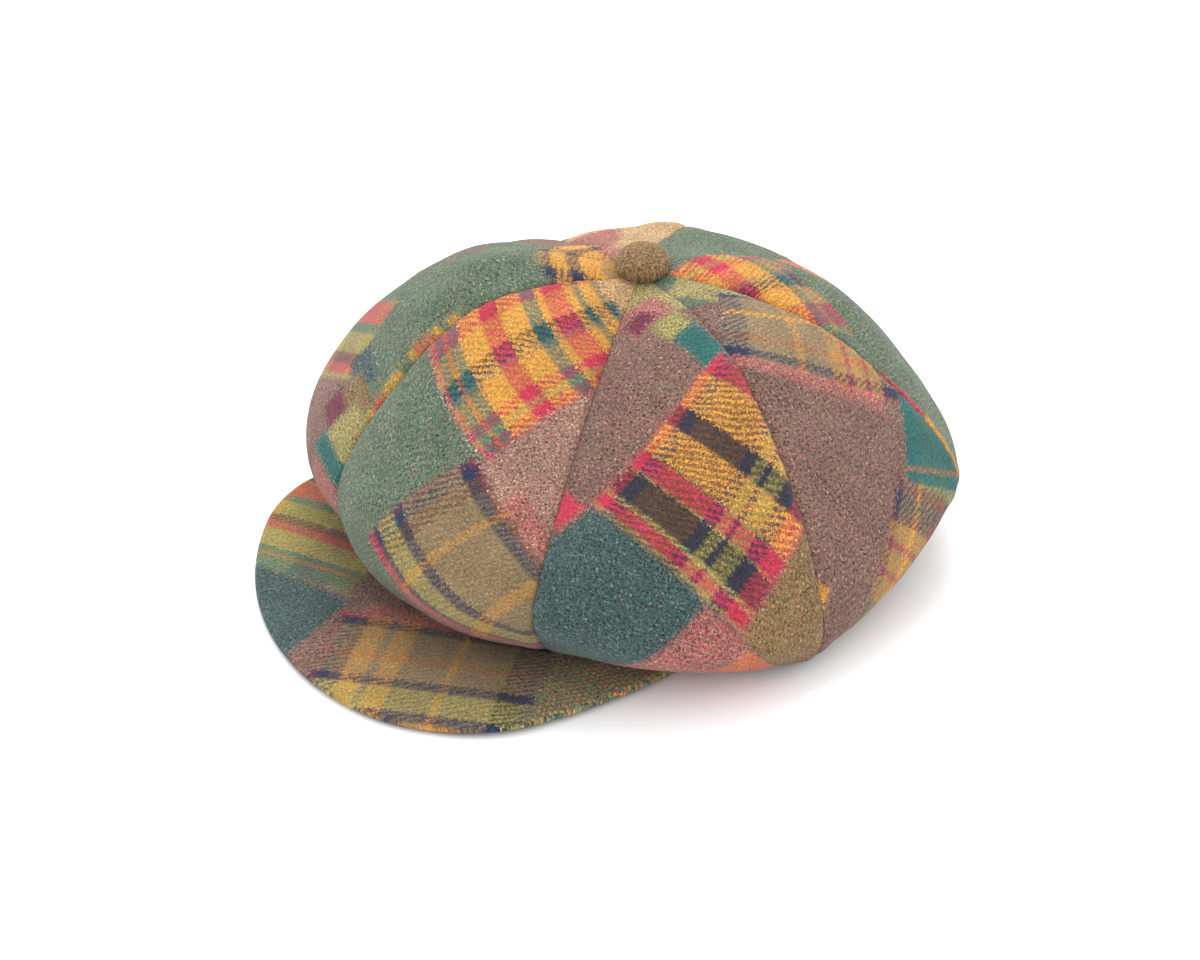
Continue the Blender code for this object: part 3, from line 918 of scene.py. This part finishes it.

# %% [markdown]
# ## Where each block of the tartan lies
# The gores look as if they were cut from one tartan at different angles, so each shows
# its own part of it. A table for each gore says which block lies where on the flat
# cloth, in millimetres from the button down the middle of the gore. Later rows lie over
# earlier ones. The blocks that show in the photo were placed one by one, and those on
# the sides that it doesn't show are invented.

# %% Blocks of the tartan on each gore
CLOTH_TABLE = {
    # ground, angle of the twill's lines, blocks: kind, corner (x, y), angle, width, height
    # the front gore's ground is the brighter copy of the mauve heather, painted light
    "crown_panel_front": ("lit_mauve_heather", -40.0, (
        ("mauve_heather", -80.0, 176.0, 0.0, 170.0, 90.0),
        ("green_heather", -62.0, 98.0, 14.0, 80.0, 92.0),
        # the olive block near the button is the brighter copy of the olive heather, painted light
        ("lit_olive_heather", -50.0, -50.0, 15.0, 100.0, 72.0),
        ("gold_check", -27.5, 14.0, 15.0, 70.0, 88.0),
        ("pink_heather", 36.0, 121.0, 31.0, 34.0, 15.0),
        ("front_check", 12.0, 119.0, 30.0, 90.0, 60.0),
    )),
    "crown_panel_front_left": ("mauve_heather", 22.0, (
        ("teal_heather", -34.0, 121.0, 45.0, 62.0, 110.0),
        ("pink_heather", 7.0, 163.0, 45.0, 26.0, 80.0),
        ("orange", 24.0, 180.0, 45.0, 26.0, 80.0),
        ("olive_heather", 75.7, 118.7, 45.0, 60.0, 79.0),
        ("dark_check", 22.0, 65.0, 45.0, 76.0, 79.0),
        ("crimson", -46.0, 113.0, 45.0, 13.0, 16.0),
        ("lime_heather", -30.0, -24.0, 12.0, 60.0, 48.0),
        ("pink_heather", 2.0, 17.0, 62.0, 17.0, 22.0),
        ("wine", -4.0, 25.0, 45.0, 9.0, 14.0),
        ("lime_heather", 9.0, 32.0, 62.0, 15.0, 13.0),
        ("teal", 16.0, 44.0, 62.0, 24.0, 12.0),
    )),
    "crown_panel_left": ("mauve_heather", 0.0, (
        ("green_heather", -8.0, -10.0, 8.0, 18.0, 46.0),
        ("lime_heather", 9.0, 10.0, 66.0, 52.0, 22.0),
        ("pink_heather", -26.0, 64.0, 43.0, 74.0, 8.0),
        ("side_check", 3.0, 33.0, 43.0, 94.0, 45.0),
        ("stripe_check", 38.0, 122.0, 40.0, 70.0, 64.0),
        ("side_check", -60.0, 205.0, -40.0, 94.0, 45.0),
        ("gold", -52.0, 156.0, 45.0, 9.0, 12.0),
    )),
    "crown_panel_back_left": ("green_heather", 30.0, (
        ("gold_check", -84.6, 22.6, -40.0, 70.0, 88.0),
        ("crimson", -52.0, 106.0, 14.0, 10.0, 26.0),
        ("gold", -62.0, 132.0, 14.0, 14.0, 30.0),
        ("orange", 16.0, 62.0, 20.0, 18.0, 26.0),
        ("mauve_heather", -10.0, 150.0, 30.0, 80.0, 90.0),
        ("olive_check", -62.0, 165.0, 30.0, 90.0, 62.0),
    )),
    "crown_panel_back": ("green_heather", -30.0, (
        ("gold", -30.0, 24.0, 20.0, 17.0, 20.0),
        ("orange", -42.0, 70.0, 20.0, 16.0, 16.0),
        ("mauve_heather", -70.0, 128.0, -20.0, 76.0, 70.0),
        ("dark_check", 6.0, 96.0, -20.0, 76.0, 79.0),
        ("teal_heather", 34.0, 170.0, -20.0, 70.0, 70.0),
        ("olive_check", -56.0, 198.0, -20.0, 90.0, 62.0),
    )),
    # the back right gore's ground is the brighter copy of the olive heather, painted light
    "crown_panel_back_right": ("lit_olive_heather", 30.0, (
        ("pink_heather", 8.0, 28.0, 10.0, 30.0, 38.0),
        ("mauve_heather", 26.0, 78.0, 20.0, 60.0, 80.0),
        ("gold_check", -44.0, 82.0, 20.0, 70.0, 88.0),
        ("green_heather", -72.0, 166.0, 20.0, 76.0, 80.0),
        ("side_check", 4.0, 190.0, 20.0, 94.0, 48.0),
    )),
    "crown_panel_right": ("mauve_heather", -30.0, (
        ("tip_check", -6.0, -8.0, 20.0, 44.0, 40.0),
        ("pink_heather", -34.0, 42.0, -50.0, 46.0, 12.0),
        ("green_heather", 16.0, 26.0, 20.0, 40.0, 90.0),
        ("olive_check", -62.0, 112.0, -18.0, 90.0, 66.0),
        ("stripe_check", 24.0, 122.0, -18.0, 70.0, 64.0),
        ("teal_heather", -60.0, 176.0, -18.0, 80.0, 80.0),
    )),
    "crown_panel_front_right": ("green_heather", 20.0, (
        ("tip_check", -22.0, -2.0, 0.0, 44.0, 44.0),
        ("mauve_heather", -54.0, 58.0, 12.0, 42.0, 44.0),
        ("mauve_heather", -60.0, 128.0, 10.0, 96.0, 60.0),
        ("lime_check", -60.0, 142.0, -30.0, 72.0, 40.0),
        ("teal_heather", 14.0, 124.0, 10.0, 22.0, 14.0),
        ("olive_heather", 24.0, 134.0, 10.0, 22.0, 14.0),
        ("wine", 20.0, 146.0, 10.0, 18.0, 14.0),
        ("lime_heather", 36.0, 143.0, 10.0, 26.0, 22.0),
        ("teal", 30.0, 164.0, 10.0, 40.0, 10.0),
        ("gold_check", 30.0, 82.0, -15.0, 20.0, 66.0),
        ("pink_heather", 30.0, 176.0, 10.0, 44.0, 20.0),
    )),
}
PEAK_CLOTH = ("mauve_heather", -50.0, (
    ("lime_check", -132.0, 92.0, -14.0, 72.0, 66.0),
    ("teal_heather", -112.0, 150.0, -8.0, 72.0, 70.0),
    ("pink_heather", -34.0, 137.0, -27.0, 64.0, 10.0),
    ("dotted_green", 42.0, 108.0, -27.0, 80.0, 90.0),
    ("olive_check", -38.0, 148.0, -27.0, 92.0, 66.0),
))

# %% Recipe: green wool with rows of dots
DOT_PITCH = (4.4, 2.6)
BERRY_PITCH = (8.0, 6.4)


def make_dotted_green():
    """Green heather with a lattice of gold dots and a wider one of red dots."""
    sockets = {"Place": "Vector", "Fibre": "Color", "Ground": "Color"}
    tree, start, end = new_group("dotted_green", sockets, {"Color": "Color"})
    fibre = add_node(tree, "VectorMath", {0: start["Fibre"], 1: (4.0, 4.0, 0.0)}, operation="MULTIPLY").outputs[0]
    place = add_node(tree, "VectorMath", {0: start["Place"], 1: fibre}, operation="ADD").outputs[0]
    colour = start["Ground"]
    for pitch, dye, least in ((DOT_PITCH, "gold", 0.25), (BERRY_PITCH, "crimson", 0.72)):
        rate = [2.0 * math.pi / value for value in pitch]
        turns = add_node(tree, "VectorMath", {0: place, 1: (*rate, 0.0)}, operation="MULTIPLY").outputs[0]
        waves = add_node(tree, "VectorMath", {0: turns}, operation="SINE").outputs[0]
        sides = add_node(tree, "SeparateXYZ", {0: waves}).outputs
        dots = ease(tree, calculate(tree, "MULTIPLY", sides[0], sides[1]), least, least + 0.3, 0.0, 0.85)
        colour = blend_colour(tree, dots, colour, opaque(PALETTE[dye]))
    tree.links.new(colour, end[0])
    return tree


dotted_group = make_dotted_green()

# %% Recipe: the surface of brushed wool
FIBRE_SCALE = 1.15
FIBRE_DISTORTION = 0.9
WEAVE_PITCH = 2.5
WEAVE_WAVER = 13.0
RAGGED_EDGE = 9.0
RAGGED_TWILL = 1.5
WOOL_ROUGHNESS = 0.96
WOOL_SHEEN = 0.14
WOOL_SHEEN_ROUGHNESS = 0.5
WOOL_SPECULAR = 0.12
NAP_HEIGHT = 0.0005


def make_wool_surface():
    """Shade the twill, let the tone wander, and give the height of the nap."""
    sockets = {"Color": "Color", "Fibre": "Color", "Tone": "Float", "Twill": "Float"}
    tree, start, end = new_group("wool_surface", sockets, {"Color": "Color", "Height": "Float"})
    fibre = add_node(tree, "SeparateColor", {0: start["Fibre"]}).outputs
    tone_and_twill_shade = ease(tree, start["Tone"], 0.3, 0.7, 0.90, 1.10)
    tone_and_twill_shade = calculate(tree, "MULTIPLY", tone_and_twill_shade, ease(tree, fibre[1], 0.28, 0.72, 1.42, 0.58))
    # painted shade in the grooves between the twill's floats and a painted highlight on the floats
    tone_and_twill_shade = calculate(tree, "MULTIPLY", tone_and_twill_shade, ease(tree, start["Twill"], 0.0, 1.0, 0.86, 1.12))
    colour = add_node(tree, "VectorMath", {0: start["Color"], "Scale": tone_and_twill_shade}, operation="SCALE").outputs[0]
    height = calculate(tree, "MULTIPLY_ADD", start["Twill"], 0.3, fibre[2])
    tree.links.new(colour, end["Color"])
    tree.links.new(height, end["Height"])
    return tree


wool_surface_group = make_wool_surface()


# %% The wool of one piece
def yarn_values(tree, flat, offset, grain):
    """The noises and the twill that every block of a piece shares."""
    moved = add_node(tree, "VectorMath", {0: flat, 1: (offset, 0.0, 0.0)}, operation="ADD").outputs[0]
    links = {"Vector": moved, "Scale": FIBRE_SCALE, "Detail": 2.0, "Roughness": 0.62, "Distortion": FIBRE_DISTORTION}
    fibre = add_node(tree, "TexNoise", links, noise_dimensions="2D").outputs["Color"]
    links = {"Vector": moved, "Scale": 0.06, "Detail": 3.0}
    tone = add_node(tree, "TexNoise", links, noise_dimensions="2D").outputs["Fac"]
    fibres = add_node(tree, "SeparateColor", {0: fibre}).outputs
    turned = add_node(tree, "Mapping", {"Vector": moved, "Rotation": (0.0, 0.0, -math.radians(grain))})
    across = add_node(tree, "SeparateXYZ", {0: turned.outputs[0]}).outputs[1]
    phase = calculate(tree, "MULTIPLY", across, 2.0 * math.pi / WEAVE_PITCH)
    phase = calculate(tree, "MULTIPLY_ADD", tone, 9.0, phase)
    wave = calculate(tree, "SINE", calculate(tree, "MULTIPLY_ADD", fibres[0], WEAVE_WAVER, phase))
    twill = ease(tree, wave, -0.65, 0.35)
    ragged = calculate(tree, "MULTIPLY", calculate(tree, "SUBTRACT", fibres[2], 0.5), RAGGED_EDGE)
    ragged = calculate(tree, "MULTIPLY_ADD", calculate(tree, "SUBTRACT", twill, 0.5), RAGGED_TWILL, ragged)
    return fibre, tone, twill, ragged


def make_wool(name, ground, grain, blocks, offset):
    """The wool of one piece: its ground, the twill's angle, and the blocks that lie on it."""
    material = bpy.data.materials.new(name)
    material.use_nodes = True
    tree = material.node_tree
    shader = tree.nodes["Principled BSDF"]
    cloth = add_node(tree, "UVMap", uv_map="cloth").outputs[0]
    flat = add_node(tree, "VectorMath", {0: cloth, "Scale": 1.0 / UV_SCALE}, operation="SCALE").outputs[0]
    fibre, tone, twill, ragged = yarn_values(tree, flat, offset, grain)
    made = {}

    def block_colour(kind, place):
        """The colour of a kind of cloth; a heather is made once for the whole piece."""
        if kind in check_groups:
            return use_group(tree, check_groups[kind], {"Place": place, "Fibre": fibre, "Twill": twill})[0]
        if kind == "dotted_green":
            links = {"Place": place, "Fibre": fibre, "Ground": block_colour("green_heather", place)}
            return use_group(tree, dotted_group, links)[0]
        if kind in PALETTE:
            return opaque(PALETTE[kind])
        if kind not in made:
            colours = dict(zip(("Main", "Second", "Dark", "Light"), map(opaque, HEATHERS[kind])))
            made[kind] = use_group(tree, heather_group, {**colours, "Fibre": fibre})[0]
        return made[kind]

    colour = block_colour(ground, flat)
    for kind, x, y, angle, width, height in blocks:
        links = {"Vector": flat, "Location": (x, y, 0.0), "Rotation": (0.0, 0.0, math.radians(angle))}
        place = add_node(tree, "Mapping", links, vector_type="TEXTURE").outputs[0]
        size = (0.5 * width, 0.5 * height, 1.0)
        mask = use_group(tree, patch_mask_group, {"Place": place, "Half Size": size, "Ragged": ragged})[0]
        colour = blend_colour(tree, mask, colour, block_colour(kind, place))
    surface = use_group(tree, wool_surface_group, {"Color": colour, "Fibre": fibre, "Tone": tone, "Twill": twill})
    bump = add_node(tree, "Bump", {"Height": surface["Height"], "Strength": 1.0, "Distance": NAP_HEIGHT})
    tree.links.new(surface["Color"], shader.inputs["Base Color"])
    tree.links.new(bump.outputs[0], shader.inputs["Normal"])
    shader.inputs["Roughness"].default_value = WOOL_ROUGHNESS
    shader.inputs["Sheen Weight"].default_value = WOOL_SHEEN
    shader.inputs["Sheen Roughness"].default_value = WOOL_SHEEN_ROUGHNESS
    shader.inputs["Specular IOR Level"].default_value = WOOL_SPECULAR
    return material


wools = {}
for index, (panel, gore) in enumerate(gores.items()):
    wools[panel] = make_wool(panel + "_wool", *CLOTH_TABLE[panel], 400.0 * index)
    gore.data.materials.append(wools[panel])
wools["peak"] = make_wool("peak_wool", *PEAK_CLOTH, 3600.0)
wools["headband"] = make_wool("headband_wool", "olive_heather", 20.0, (), 4200.0)
wools["top_button"] = make_wool("button_wool", "olive_heather", 20.0, (), 5000.0)
peak.data.materials.append(wools["peak"])
band.data.materials.append(wools["headband"])
button.data.materials.append(wools["top_button"])

# %% [markdown]
# ## The studio
# The photo shows the cap on plain white in soft light. A white world gives the even
# light, one wide lamp above and behind gives the crown its form, and a pale floor takes
# the faint shadow.

# %% Floor, lamps and world
FLOOR_HALF = 4.0
FLOOR_COLOUR = (0.9, 0.905, 0.915)
WORLD_STRENGTH = 1.5
LAMP_PLACE = Vector((-0.55, 0.55, 1.35))
LAMP_AIM = Vector((0.0, 0.0, 0.05))
LAMP_SIZE = 1.1
LAMP_POWER = 16.0

floor_mesh = bpy.data.meshes.new("floor")
shape = bmesh.new()
bmesh.ops.create_grid(shape, x_segments=1, y_segments=1, size=FLOOR_HALF)
shape.to_mesh(floor_mesh)
shape.free()
floor = bpy.data.objects.new("floor", floor_mesh)
bpy.context.scene.collection.objects.link(floor)
paper = bpy.data.materials.new("white_sweep")
paper.use_nodes = True
paper.node_tree.nodes["Principled BSDF"].inputs["Base Color"].default_value = opaque(FLOOR_COLOUR)
paper.node_tree.nodes["Principled BSDF"].inputs["Roughness"].default_value = 0.9
paper.node_tree.nodes["Principled BSDF"].inputs["Specular IOR Level"].default_value = 0.1
floor_mesh.materials.append(paper)

world = bpy.data.worlds.new("studio")
world.use_nodes = True
world.node_tree.nodes["Background"].inputs["Color"].default_value = (1.0, 1.0, 1.0, 1.0)
world.node_tree.nodes["Background"].inputs["Strength"].default_value = WORLD_STRENGTH
bpy.context.scene.world = world

lamp_data = bpy.data.lights.new("overhead", "AREA")
lamp_data.energy = LAMP_POWER
lamp_data.size = LAMP_SIZE
lamp = bpy.data.objects.new("overhead", lamp_data)
lamp.location = LAMP_PLACE
lamp.rotation_euler = (LAMP_AIM - LAMP_PLACE).to_track_quat("-Z", "Y").to_euler()
bpy.context.scene.collection.objects.link(lamp)
bpy.context.scene.view_settings.view_transform = "Standard"
